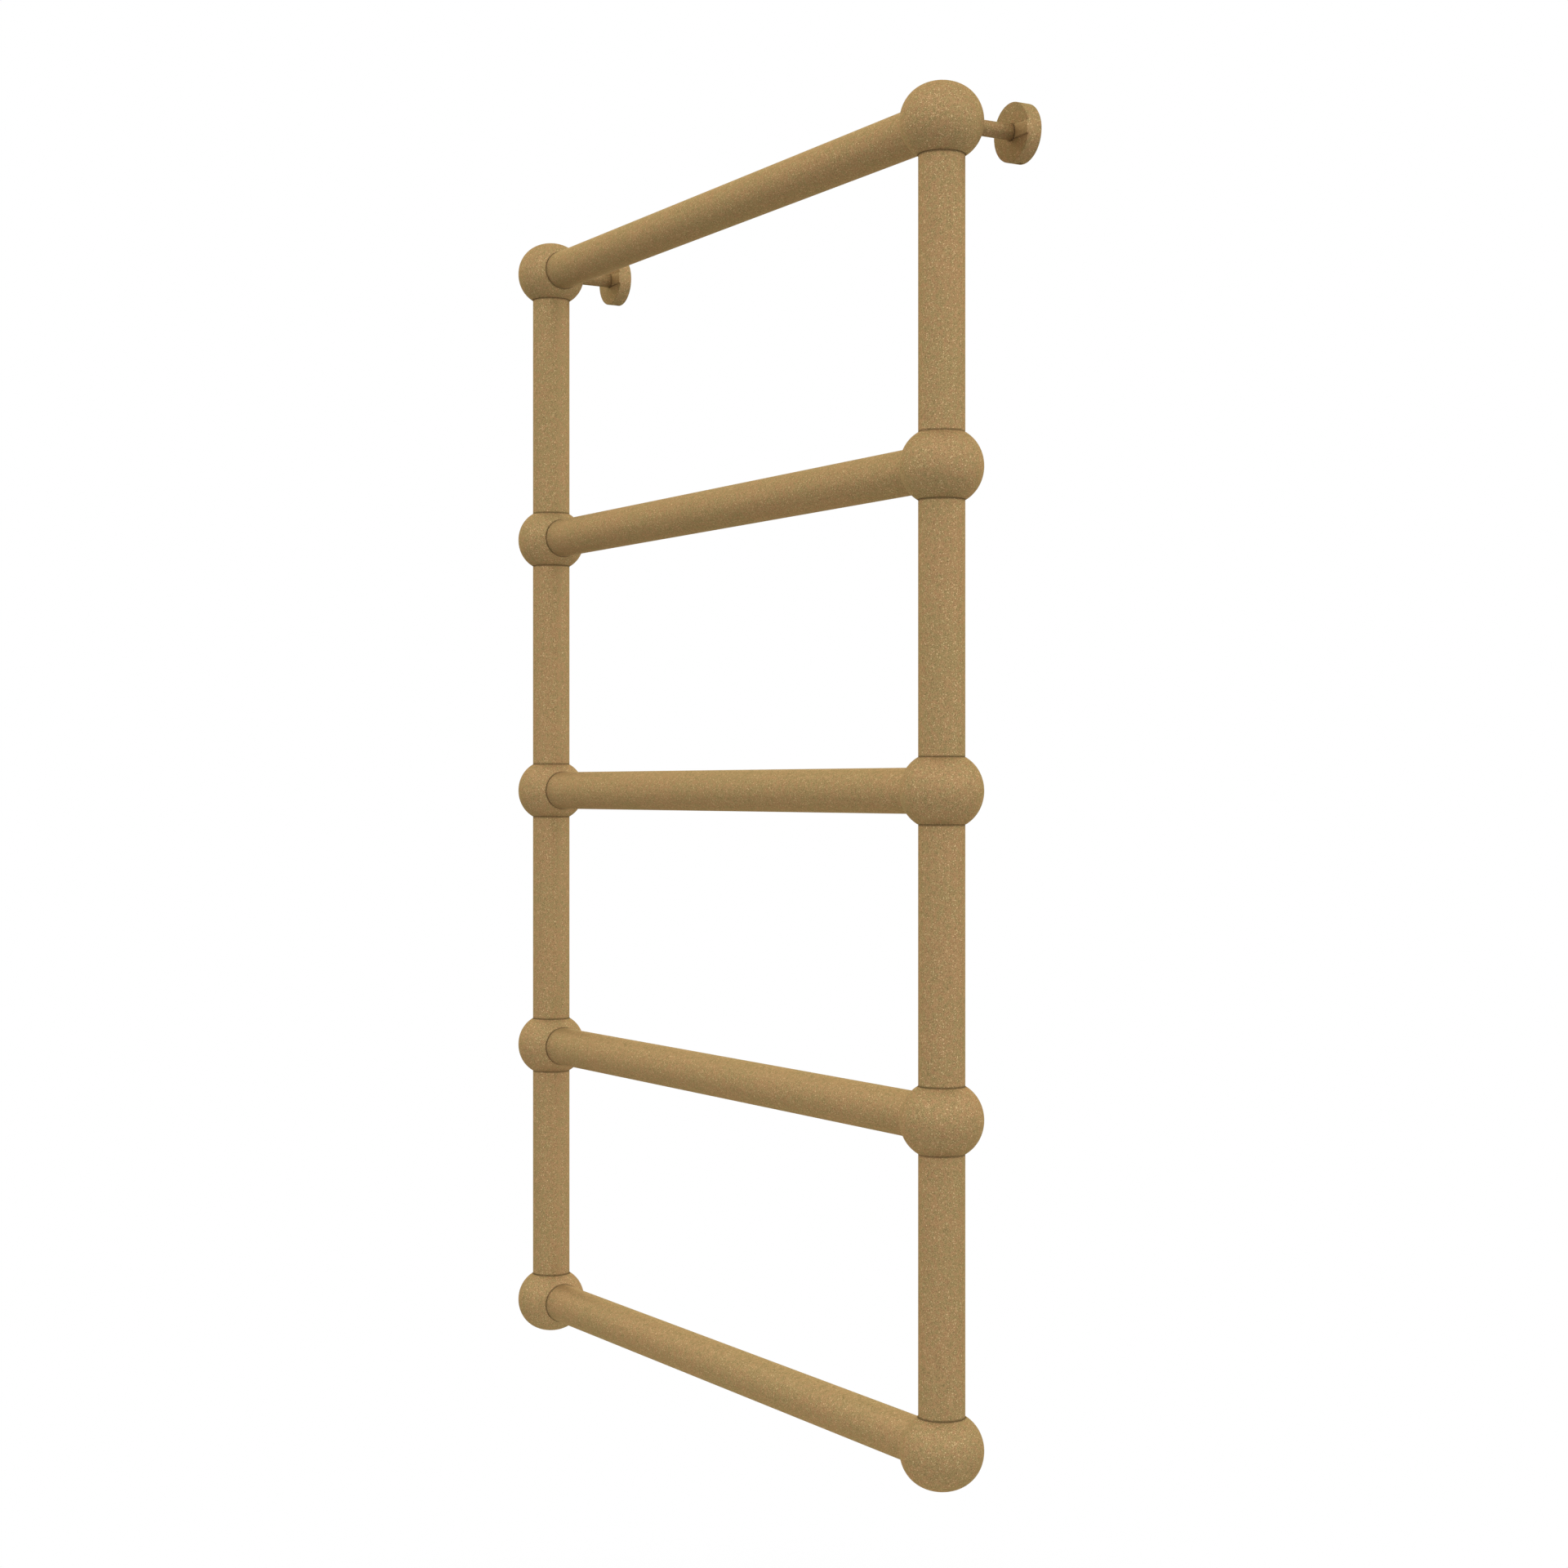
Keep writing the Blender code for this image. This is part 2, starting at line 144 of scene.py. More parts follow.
def add_camera():
    """Stand the camera at its place from the rack's middle, in units of the post spacing."""
    camera = placed("camera", bpy.data.cameras.new("camera"))
    camera.data.lens = CAMERA_LENS
    camera.data.sensor_width = CAMERA_SENSOR
    camera.data.shift_y = CAMERA_SHIFT
    camera.location = np.array(rack_middle) + post_spacing * np.array(CAMERA_PLACE)
    camera.rotation_euler = (math.pi / 2, 0, CAMERA_TURN)
    bpy.context.scene.camera = camera
    return camera


camera = add_camera()
print("camera at", [round(value, 3) for value in camera.location])

# %% [markdown]
# ## From a grid of points to a mesh
#
# Nearly everything on this rack was turned on a lathe or drawn through a die, so its
# surface is a function of two parameters: how far along a profile, and how far round an
# axis. Such a surface is a grid of points. Here each grid becomes quads, and all the grids
# of a piece are welded where they meet. A grid that closes on itself wraps round, and a
# row of points that fall together on the axis becomes one pole.

# %% Grids and meshes
WELD = 0.5e-6
SHARP = math.radians(32)


def wrapped_quads(rows, columns):
    """The quads between neighbouring rows of a grid whose columns close into a ring."""
    row, column = np.meshgrid(np.arange(rows - 1), np.arange(columns), indexing="ij")
    here = row * columns + column
    beside = row * columns + (column + 1) % columns
    return np.stack([here, beside, beside + columns, here + columns], axis=-1).reshape(-1, 4)


def mesh_from_grids(name, grids):
    """Weld grids of points, each rows by columns by three, into one closed mesh."""
    points = np.concatenate([grid.reshape(-1, 3) for grid in grids])
    starts = np.cumsum([0] + [grid.shape[0] * grid.shape[1] for grid in grids])
    quads = [wrapped_quads(*grid.shape[:2]) + start for grid, start in zip(grids, starts)]
    mesh = bpy.data.meshes.new(name)
    mesh.from_pydata(points.tolist(), [], np.concatenate(quads).tolist())
    shape = bmesh.new()
    shape.from_mesh(mesh)
    bmesh.ops.remove_doubles(shape, verts=shape.verts, dist=WELD)
    bmesh.ops.dissolve_degenerate(shape, edges=shape.edges, dist=WELD)
    bmesh.ops.recalc_face_normals(shape, faces=shape.faces)
    shape.to_mesh(mesh)
    shape.free()
    return mesh


def vertex_array(mesh):
    """A mesh's vertices as one array, a row for each."""
    flat = np.empty(3 * len(mesh.vertices), dtype=np.float32)
    mesh.vertices.foreach_get("co", flat)
    return flat.reshape(-1, 3).astype(float)


def spanning(axis):
    """Two directions square to an axis, each along a main axis of the rack."""
    first = np.array([0.0, 1.0, 0.0]) if abs(axis[1]) < 0.5 else np.array([1.0, 0.0, 0.0])
    return first, np.cross(axis, first)


def full_turn(columns):
    """Angles evenly round a ring, which closes by itself."""
    return 2 * np.pi * np.arange(columns) / columns


def swung(radius, along, axis, place, start=0.0):
    """A surface round an axis, whose radius has a row for each distance along it.

    A point is the place, plus the distance times the axis, plus the radius times (the
    cosine of the turn times one direction across the axis, and its sine times the other).
    The first column is at the turn called start.
    """
    axis = np.asarray(axis, float)
    across, aside = spanning(axis)
    turn = start + full_turn(radius.shape[1])
    ring = np.outer(np.cos(turn), across) + np.outer(np.sin(turn), aside)
    return radius[..., None] * ring + along[:, None, None] * axis + np.asarray(place, float)


def turned(profile, axis, place, columns=96, start=0.0):
    """A surface of revolution: one radius all the way round, for each profile point."""
    radius, along = np.asarray(profile, float).T
    return swung(np.repeat(radius[:, None], columns, axis=1), along, axis, place, start)


def round_corner(center, radius, start, end, steps=6):
    """Profile points on an arc, from one angle to another, in degrees from the radius axis."""
    angle = np.radians(np.linspace(start, end, steps + 1))
    return list(zip(center[0] + radius * np.cos(angle), center[1] + radius * np.sin(angle)))


def straight(start, end, count):
    """Profile points evenly along a straight line, both ends included."""
    share = np.linspace(0, 1, count + 1)[:, None]
    return list(map(tuple, (1 - share) * np.array(start) + share * np.array(end)))


def smooth_step(value):
    """Nought below 0, one above 1, and a smooth climb between them."""
    value = np.clip(value, 0, 1)
    return value * value * (3 - 2 * value)


# %% [markdown]
# ## Turning a mesh into a piece
#
# A finished piece sits at the origin with its place in its mesh, as the imported pieces do.
# It hides the imported piece that it stands for and rides on the rack's one body. It also
# carries how far each of its points is from the nearest joint, which the brass finish uses
# to paint shade there: painted shade, darker close to where the parts meet.

# %% Pieces
FAR = 1.0
fine_pieces = []


def store(mesh, name, values):
    """Keep one number for each vertex, for the materials to read."""
    attribute = mesh.attributes.new(name, "FLOAT", "POINT")
    attribute.data.foreach_set("value", np.asarray(values, dtype=np.float32))


def far_from_joints(points):
    """For a piece that no joint ages: every point counts as far away."""
    return np.full(len(points), FAR)


def piece_from(shape, node, finish, seam_distance=far_from_joints):
    """Make a mesh, or one grid of points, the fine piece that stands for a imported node."""
    mesh = mesh_from_grids(node, [shape]) if isinstance(shape, np.ndarray) else shape
    mesh.shade_smooth()
    mesh.set_sharp_from_angle(angle=SHARP)
    store(mesh, "seam", seam_distance(vertex_array(mesh)))
    mesh.materials.clear()
    mesh.materials.append(finish)
    piece = placed(f"fine_{node}", mesh)
    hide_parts(node)
    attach(piece, "root")
    fine_pieces.append(piece)
    return piece


# %% [markdown]
# ## Shader maths as plain sums
#
# A finish is a few sums on noise. Written as nodes they are hard to read, so one small
# class stands for a number in the tree, and adding or multiplying two of them adds the
# Math node. A second fills a tree with every other kind of node, for a material or for
# the world, and a third, built on it, is a material with the patterns that metal needs.

# %% Numbers in a material


class Number:
    """A number that varies over a surface, held by the socket it comes out of."""

    def __init__(self, finish, socket):
        self.finish = finish
        self.socket = socket

    def join(self, operation, first, second):
        """A Math node of two numbers."""
        settings = {"operation": operation}
        return self.finish.number(0, "ShaderNodeMath", settings, {0: first, 1: second})

    def __add__(self, other):
        return self.join("ADD", self, other)

    def __sub__(self, other):
        return self.join("SUBTRACT", self, other)

    def __rsub__(self, other):
        return self.join("SUBTRACT", other, self)

    def __mul__(self, other):
        return self.join("MULTIPLY", self, other)

    __radd__ = __add__
    __rmul__ = __mul__

    def rise(self, low, high):
        """Nought below low, one above high and a smooth climb between them."""
        sockets = {"Value": self, "From Min": low, "From Max": high}
        settings = {"interpolation_type": "SMOOTHSTEP"}
        return self.finish.number("Result", "ShaderNodeMapRange", settings, sockets)


class Nodes:
    """A tree of nodes in the making, for a material or for the world."""

    def __init__(self, owner):
        owner.use_nodes = True
        self.tree = owner.node_tree

    def put(self, socket, value):
        """Link a socket to what comes out of a node, or set it to a number or a colour."""
        value = value.socket if isinstance(value, Number) else value
        if isinstance(value, bpy.types.NodeSocket):
            self.tree.links.new(value, socket)
        elif socket.type == "RGBA":
            socket.default_value = (*value, 1)
        else:
            socket.default_value = value

    def node(self, kind, settings=None, sockets=None):
        """Add a node: first its settings, or a ramp's stops, then its sockets' values or links."""
        made = self.tree.nodes.new(kind)
        for name, setting in (settings or {}).items():
            if name == "stops":
                set_stops(made.color_ramp, setting)
            else:
                setattr(made, name, setting)
        for key, value in (sockets or {}).items():
            self.put(made.inputs[key], value)
        return made

    def number(self, output, kind, settings=None, sockets=None):
        """The number that comes out of one output of a new node."""
        return Number(self, self.node(kind, settings, sockets).outputs[output])


def set_stops(ramp, stops):
    """Greys on a colour ramp, as (position, brightness) pairs, eased from one to the next."""
    ramp.interpolation = "EASE"
    ramp.elements.remove(ramp.elements[1])
    first, *others = [(position, (level, level, level, 1)) for position, level in stops]
    ramp.elements[0].position, ramp.elements[0].color = first
    for position, color in others:
        ramp.elements.new(position).color = color


class Finish(Nodes):
    """A material: its shader, where a point is on the rack, and patterns on that place."""

    def __init__(self, name, metallic, roughness):
        self.material = bpy.data.materials.new(name)
        super().__init__(self.material)
        self.shader = self.tree.nodes["Principled BSDF"]
        self.put(self.shader.inputs["Metallic"], metallic)
        self.put(self.shader.inputs["Roughness"], roughness)
        self.place = self.node("ShaderNodeTexCoord").outputs["Object"]

    def stretched(self, scale):
        """The place on the rack with each axis scaled, to draw a pattern out along one."""
        made = self.node("ShaderNodeMapping", {}, {"Vector": self.place, "Scale": scale})
        return made.outputs["Vector"]

    def noise(self, scale, detail=2.0, roughness=0.5, place=None):
        """Soft noise from 0 to 1, whose grains are one over the scale across."""
        place = place or self.place
        sockets = {"Vector": place, "Scale": scale, "Detail": detail, "Roughness": roughness}
        return self.number("Fac", "ShaderNodeTexNoise", {"noise_dimensions": "3D"}, sockets)

    def rings(self, spacing):
        """Noise in rings round a turned piece's axis, as the tool leaves them."""
        sockets = {"W": self.stored("from_axis"), "Scale": 1 / spacing, "Detail": 2.0}
        return self.number("Fac", "ShaderNodeTexNoise", {"noise_dimensions": "1D"}, sockets)

    def specks(self, scale):
        """Cells of a Voronoi pattern: a random number for each, and the way to its middle."""
        made = self.node("ShaderNodeTexVoronoi", {}, {"Vector": self.place, "Scale": scale})
        split = self.node("ShaderNodeSeparateColor", {}, {"Color": made.outputs["Color"]})
        return Number(self, split.outputs["Red"]), Number(self, made.outputs["Distance"])

    def stored(self, name):
        """A number that the mesh carries on its vertices."""
        return self.number("Fac", "ShaderNodeAttribute", {"attribute_name": name})

    def across(self, axis):
        """The place along one main axis of the rack, in metres."""
        return self.number(axis, "ShaderNodeSeparateXYZ", {}, {"Vector": self.place})

    def blend(self, share, first, second):
        """A colour between two others."""
        kind = {"data_type": "RGBA", "clamp_factor": True}
        return self.node("ShaderNodeMix", kind, {0: share, 6: first, 7: second}).outputs[2]

    def coat(self, color, roughness):
        """Give the shader what varies over the surface, its colour and its roughness."""
        self.put(self.shader.inputs["Base Color"], color)
        self.put(self.shader.inputs["Roughness"], roughness)

    def bump(self, height, distance, strength):
        """Tilt the surface by a height, without moving it."""
        sockets = {"Height": height, "Distance": distance, "Strength": strength}
        made = self.node("ShaderNodeBump", {}, sockets)
        self.put(self.shader.inputs["Normal"], made.outputs["Normal"])


print("shader helpers ready")

# %% [markdown]
# ## Satin aged brass
#
# The rack has one finish: brass that was blasted with fine grit, toned to a quiet tan gold
# and lacquered thin. Three things make it read as metal and not as paint. A fine grain,
# under a millimetre, roughens the reflection. A few grains in a hundred, in two sizes,
# catch the light as tiny sparks or lie dark as pits. And over some centimetres the tone
# drifts, a little redder here and a little greener there. Close to a joint the brass is
# painted darker, as painted shade where the parts meet, and rods and roses are painted a
# little darker all over, also as painted shade. The tops of the rungs and the ribs of the
# roses are painted a shade brighter, as painted highlight.

# %% Satin brass
BRASS_TAN = (0.405, 0.277, 0.126)
BRASS_OLIVE = (0.364, 0.281, 0.125)
BRASS_ROSY = (0.464, 0.280, 0.139)
BRASS_DARK = (0.120, 0.080, 0.036)
# Pale brass, for the grain, the drawn lines and the painted highlights.
BRASS_PALE_AND_HIGHLIGHT = (0.520, 0.370, 0.180)
SPARK = (0.780, 0.590, 0.330)
EDGE_TINT = (0.60, 0.52, 0.38)


def flecks(finish, scale, bright, dull, fade):
    """Sparks and pits: the cells with the highest and the lowest random numbers.

    Each share climbs over its own range of the number, and all fade out from the middle of
    the cell over the same distances, counted in cells.
    """
    chance, to_middle = finish.specks(scale)
    spot = 1 - to_middle.rise(*fade)
    return chance.rise(*bright) * spot, (1 - chance.rise(*dull)) * spot


def satin_brass(name, drawn=None, lit_rung_tops=False, lit_rib=False, overall_shade=0.0,
                joint_shade_strength=0.55):
    """The rack's finish.

    drawn scales the place, to draw faint lines out along a tube. Tops of rungs and ribs of
    roses can be painted brighter, as painted highlight. overall_shade darkens the whole, and
    joint_shade_strength only what is close to a joint, both as painted shade.
    """
    finish = Finish(name, metallic=1.0, roughness=0.5)
    finish.put(finish.shader.inputs["Specular Tint"], EDGE_TINT)
    drift = finish.noise(22, detail=3)
    clouds = finish.noise(330, detail=3)
    grain = finish.noise(1900, detail=1, roughness=0.6)
    sand = finish.noise(700, detail=1)
    spark, pit = flecks(finish, 1500, (0.90, 0.97), (0.05, 0.12), (0.25, 0.60))
    large_spark, large_pit = flecks(finish, 760, (0.90, 0.96), (0.06, 0.14), (0.20, 0.55))
    # Painted shade: the brass is painted darker close to a joint, where the parts meet and shade
    # falls, and is a little rougher there.
    near_joint = 1 - finish.stored("seam").rise(0.0, 2.0 * MM)
    painted_joint_shade = near_joint * near_joint

    tone = (clouds * 0.72 + drift * 0.28).rise(0.38, 0.62)
    color = finish.blend(tone, BRASS_OLIVE, BRASS_ROSY)
    color = finish.blend(sand.rise(0.35, 0.65) * 0.4, color, BRASS_TAN)
    color = finish.blend(grain.rise(0.32, 0.56) * -0.46 + 0.46, color, BRASS_DARK)
    color = finish.blend(grain.rise(0.46, 0.68) * 0.75, color, BRASS_PALE_AND_HIGHLIGHT)
    # Pits are dark grains of the metal; the darkening over the whole of rods and roses is painted
    # shade.
    color = finish.blend(pit * 0.40 + large_pit * 0.30 + overall_shade, color, BRASS_DARK)
    roughness = 0.62 + grain * 0.10 + painted_joint_shade * 0.10 - spark * 0.14
    height = grain * 0.6 + sand * 0.4
    # Painted highlight: the tops of the rungs are painted paler and a little smoother, where the
    # light from above falls.
    if lit_rung_tops:
        top_highlight = rung_tops(finish.across("Z")) * clouds.rise(0.30, 0.60)
        color = finish.blend(top_highlight * 0.30, color, BRASS_PALE_AND_HIGHLIGHT)
        roughness = roughness - top_highlight * 0.06
    # Painted highlight: the rib on a rose is painted paler, as a lit band.
    if lit_rib:
        color = finish.blend(finish.stored("raised") * 0.40, color, BRASS_PALE_AND_HIGHLIGHT)
    if drawn:
        lines = finish.noise(1.0, detail=2, place=finish.stretched(drawn))
        color = finish.blend(lines.rise(0.55, 0.80) * 0.22, color, BRASS_PALE_AND_HIGHLIGHT)
        height = height + lines * 0.3
    color = finish.blend(spark * 0.8 + large_spark * 0.5, color, SPARK)
    # Painted shade close to the joints.
    color = finish.blend(painted_joint_shade * joint_shade_strength, color, BRASS_DARK)
    finish.coat(color, roughness)
    finish.bump(height, 0.06 * MM, 0.6)
    return finish.material


def rung_tops(up):
    """One along the top of every rung and nought elsewhere, from the height alone."""
    band = 0.0
    for height in rung_heights:
        above = up - height
        strip = above.rise(0.35 * tube_radius, 0.95 * tube_radius)
        band = band + strip * (1 - above.rise(1.0 * tube_radius, 1.1 * tube_radius))
    return band


ball_brass = satin_brass("ball_brass")
post_brass = satin_brass("post_brass", drawn=(700, 700, 9), joint_shade_strength=0.60)
rung_brass = satin_brass("rung_brass", drawn=(9, 700, 700), lit_rung_tops=True, joint_shade_strength=0.25)
# Rods and roses are painted darker all over, as painted shade.
rod_brass = satin_brass("rod_brass", overall_shade=0.14)
rose_brass = satin_brass("rose_brass", lit_rib=True, overall_shade=0.07)
print("five brass finishes, for balls, posts, rungs, rods and roses")

# %% [markdown]
# ## The balls
#
# A ball is a sphere with a round mouth for every tube. Cutting holes in a ready-made
# sphere leaves a ragged seam that shows as soon as light grazes it. So the sphere is laid
# out to suit its holes: it is projected from a cube, six faces in all, and each face is a
# ring of points that starts on the mouth's circle and spreads to the face's square
# border. Neighbouring faces place their border points alike, so they weld. Last of all
# the sphere is flattened a little at its top and bottom.

# %% One face of a ball
ORIGIN = (0, 0, 0)
BALL_COLUMNS = 96
BALL_ROWS = 12
LIP_ROWS = 6


def flattened(height):
    """Where a height on the sphere comes to lie on the flattened ball.

    It loses the flattening times the cube of its share of the radius, so the poles lose
    all of it and the middle nothing.
    """
    return height - ball_flattening * (height / ball_radius) ** 3


def mouth_height(mouth, axis):
    """How far from its centre a ball's surface meets a tube as wide as the mouth."""
    height = math.sqrt(ball_radius ** 2 - mouth ** 2)
    return flattened(height) if axis == 2 else height


def ball_face(normal, first_angle):
    """A sixth of a sphere, from a circle round the normal out to the cube face's border.

    The parameters are the turn about the normal and the share of the way out. The border
    lies at the polar angle whose tangent is one over the larger of the turn's cosine and
    sine, both without sign. A point's polar angle goes evenly from the first one to that.
    """
    normal = np.asarray(normal, float)
    across, aside = spanning(normal)
    turn = full_turn(BALL_COLUMNS)
    border = np.arctan(1 / np.maximum(abs(np.cos(turn)), abs(np.sin(turn))))
    share = np.linspace(0, 1, BALL_ROWS + 1)[:, None]
    polar = (first_angle + share * (border - first_angle))[..., None]
    ring = np.outer(np.cos(turn), across) + np.outer(np.sin(turn), aside)
    points = ball_radius * (np.sin(polar) * ring + np.cos(polar) * normal)
    points[..., 2] = flattened(points[..., 2])
    return points


def mouth_profile(mouth, floor, edge):
    """The rounded edge of a socket, its wall and its floor, as (radius, height) points.

    The edge is an arc that touches the sphere from inside and the socket's wall. Its
    centre is one edge radius out from the wall and one in from the sphere.
    """
    out = mouth + edge
    up = math.sqrt((ball_radius - edge) ** 2 - out ** 2)
    start = math.degrees(math.atan2(up, out))
    arc = round_corner((out, up), edge, start, 180, steps=LIP_ROWS - 1)
    return arc + [(mouth, floor), (0.0, floor)], math.radians(90 - start)


def lowered_lip(grid, axis):
    """A socket whose lip follows the flattening, by as much as its outermost row moves.

    A socket that faces up or down moves evenly. On the others the move fades out towards
    the wall, which has to stay round.
    """
    fade = np.ones(LIP_ROWS) if axis == 2 else np.linspace(1, 0, LIP_ROWS)
    outermost = grid[0, :, 2]
    grid[:LIP_ROWS, :, 2] += fade[:, None] * (flattened(outermost) - outermost)
    return grid


def ball_surface(sockets):
    """The six faces of a ball, and the inside of each socket on them."""
    grids = []
    for axis in range(3):
        for sign in (-1, 1):
            normal = np.zeros(3)
            normal[axis] = sign
            socket = sockets.get((axis, sign))
            if socket:
                profile, first_angle = mouth_profile(*socket)
                grid = turned(profile, normal, ORIGIN, BALL_COLUMNS)
                grids.append(lowered_lip(grid, axis))
            else:
                first_angle = 0.0
            grids.append(ball_face(normal, first_angle))
    return grids


print("a plain ball has", 6 * BALL_COLUMNS * BALL_ROWS, "quads")

# %% [markdown]
# ## The hollow in a ball
#
# Inside, the sockets lead to one hollow, so that the heating cable can turn from a post
# into a rung. That part stays out of sight, and its cut only meets the flat floors of the
# sockets. So an ordinary Boolean does for it: one straight passage along the post, one in
# from the rung, and behind a top ball a narrow one for the lead.

# %% Cutting the passages
DRILL_COLUMNS = 64
DRILL_TURN = math.radians(1.3)


def closed_rod(radius, low, high, axis, place):
    """A plain solid rod, used only to cut.

    It is turned a little, so that none of its edges falls on an edge of what it cuts: where
    two edges coincide, the Boolean leaves pinholes.
    """
    profile = [(0, high), (radius, high), (radius, low), (0, low)]
    return turned(profile, axis, place, columns=DRILL_COLUMNS, start=DRILL_TURN)


def bored(mesh, rods):
    """The mesh with each rod's shape taken out of it."""
    block = placed("block", mesh)
    tools = []
    for rod in rods:
        tool = placed("drill", mesh_from_grids("drill", [rod]))
        cut = block.modifiers.new("cut", "BOOLEAN")
        cut.solver = "EXACT"
        cut.object = tool
        tools.append(tool)
    bpy.context.view_layer.update()
    evaluated = block.evaluated_get(bpy.context.evaluated_depsgraph_get())
    result = bpy.data.meshes.new_from_object(evaluated)
    for thing in [block, *tools]:
        bpy.data.objects.remove(thing)
    return result


# %% All ten balls
X_AXIS, Y_AXIS, Z_AXIS = np.eye(3)
rod_radius = half_span("standoff_right", 0)
ROD_SEAT = 23.5 * MM
ROD_EDGE = 0.25 * MM


def ball_mesh(name, side, number):
    """One ball about the origin, with the sockets of its place in the post."""
    tube_socket = (tube_radius + MOUTH_GAP, socket_floor - CLEARANCE, MOUTH_EDGE)
    sockets = {(0, -side): tube_socket}
    through = socket_floor + MM
    top, bottom = BLIND_END, -BLIND_END
    if number > 1:
        sockets[(2, 1)] = tube_socket
        top = through
    if number < rung_count:
        sockets[(2, -1)] = tube_socket
        bottom = -through
    rods = [
        closed_rod(POST_PASSAGE, bottom, top, Z_AXIS, ORIGIN),
        closed_rod(RUNG_PASSAGE, 0, through, -side * X_AXIS, ORIGIN),
    ]
    if number == 1:
        sockets[(1, 1)] = (rod_radius + MOUTH_GAP, ROD_SEAT, ROD_EDGE)
        rods.append(closed_rod(THREAD_RADIUS + CLEARANCE, 0, ROD_SEAT + MM, Y_AXIS, ORIGIN))
    return bored(mesh_from_grids(name, ball_surface(sockets)), rods), sockets


# The brass finish uses this distance to paint shade round each mouth.
def ball_seams(center, sockets):
    """How far a ball's points are from the nearest mouth, measured over the sphere."""

    def distance(points):
        way = points - center
        way = way / np.linalg.norm(way, axis=1, keepdims=True)
        nearest = far_from_joints(points)
        for (axis, sign), (mouth, _, _) in sockets.items():
            rim = math.atan2(mouth, mouth_height(mouth, axis))
            angle = np.arccos(np.clip(sign * way[:, axis], -1, 1)) - rim
            nearest = np.minimum(nearest, np.maximum(angle, 0) * ball_radius)
        return nearest

    return distance


for side_name, side in SIDES.items():
    for number, height in enumerate(rung_heights, 1):
        node = f"ball_joint_{side_name}_{number}"
        center = np.array([side * post_x, rack_y, height])
        mesh, sockets = ball_mesh(node, side, number)
        points = vertex_array(mesh) + center
        mesh.vertices.foreach_set("co", points.astype(np.float32).ravel())
        mesh.update()
        piece_from(mesh, node, ball_brass, ball_seams(center, sockets))
print(rung_count * 2, "balls")

# %% [markdown]
# ## The tubes
#
# Posts and rungs are lengths of one drawn tube, cut square, with the burr taken off each
# end. The profile is a closed loop: a rounded end, the outer wall, the other end and the
# bore. The wall has a few more points just outside each ball, because a finish can only
# follow the distance to the joint where there are points that carry it.

# %% Post tubes and rungs
END_ROUNDING = 0.35 * MM
SEAM_REACH = 3.0 * MM


def tube_profile(low, high, hidden):
    """A tube's wall as a closed loop of (radius, distance along) points.

    hidden is how much of each end is inside a ball.
    """
    outer, inner, edge = tube_radius, tube_radius - TUBE_WALL, END_ROUNDING
    near, past = hidden, hidden + SEAM_REACH
    loop = round_corner((outer - edge, high - edge), edge, 90, 0)
    stops = (high - near, high - past, (low + high) / 2, low + past, low + near)
    loop += [(outer, along) for along in stops]
    loop += round_corner((outer - edge, low + edge), edge, 0, -90)
    loop += [(inner, low), (inner, high)]
    return loop + loop[:1]


def build_tube(node, axis, finish):
    """A fine tube for a packed one, between the ends of its box."""
    low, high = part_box(node)
    half = half_span(node, axis)
    hidden = mouth_height(tube_radius, axis) - socket_floor
    profile = tube_profile(-half, half, hidden)
    grid = turned(profile, np.eye(3)[axis], middle(node))

    # The brass finish uses this distance to paint shade where the tube goes into a ball.
    def distance(points):
        along = points[:, axis]
        to_end = np.minimum(along - low[axis], high[axis] - along)
        return np.maximum(to_end - hidden, 0)

    piece_from(grid, node, finish, distance)


for side_name in SIDES:
    for number in range(1, rung_count):
        build_tube(f"post_tube_{side_name}_{number}", 2, post_brass)
for number in range(1, rung_count + 1):
    build_tube(f"rung_tube_{number}", 0, rung_brass)
print(2 * (rung_count - 1), "post tubes and", rung_count, "rungs")

# %% [markdown]
# ## The standoffs
#
# A standoff is a hollow turned rod with a shoulder near each end. The front thread goes
# into the ball, and the rear one through the rose into its nut. Both are made as fine
# grooves, a wave on the radius, although they hide inside ball and rose.

# %% Standoffs
THREAD_PITCH = 1.25 * MM
THREAD_DEPTH = 0.25 * MM
THREAD_ROWS = 8
SHOULDER_EDGE = 0.2 * MM
SHOULDER_GAP = 0.05 * MM
ROD_ROWS = 24
ROD_COLUMNS = 64


def wall_point(node):
    """Where the axis of a piece that stands out from the wall meets the wall."""
    return np.array([middle(node).x, 0, middle(node).z])


def groove_share(along, pitch):
    """How deep in a groove each distance is: half of one less the cosine, once a pitch."""
    return 0.5 - 0.5 * np.cos(2 * np.pi * (along - along[0]) / pitch)


def thread_rows(low, high):
    """Grooves on a rod between two heights, as profile points."""
    along = np.linspace(low, high, THREAD_ROWS * int((high - low) / THREAD_PITCH) + 1)
    radius = THREAD_RADIUS - THREAD_DEPTH * groove_share(along, THREAD_PITCH)
    return list(zip(radius, along))


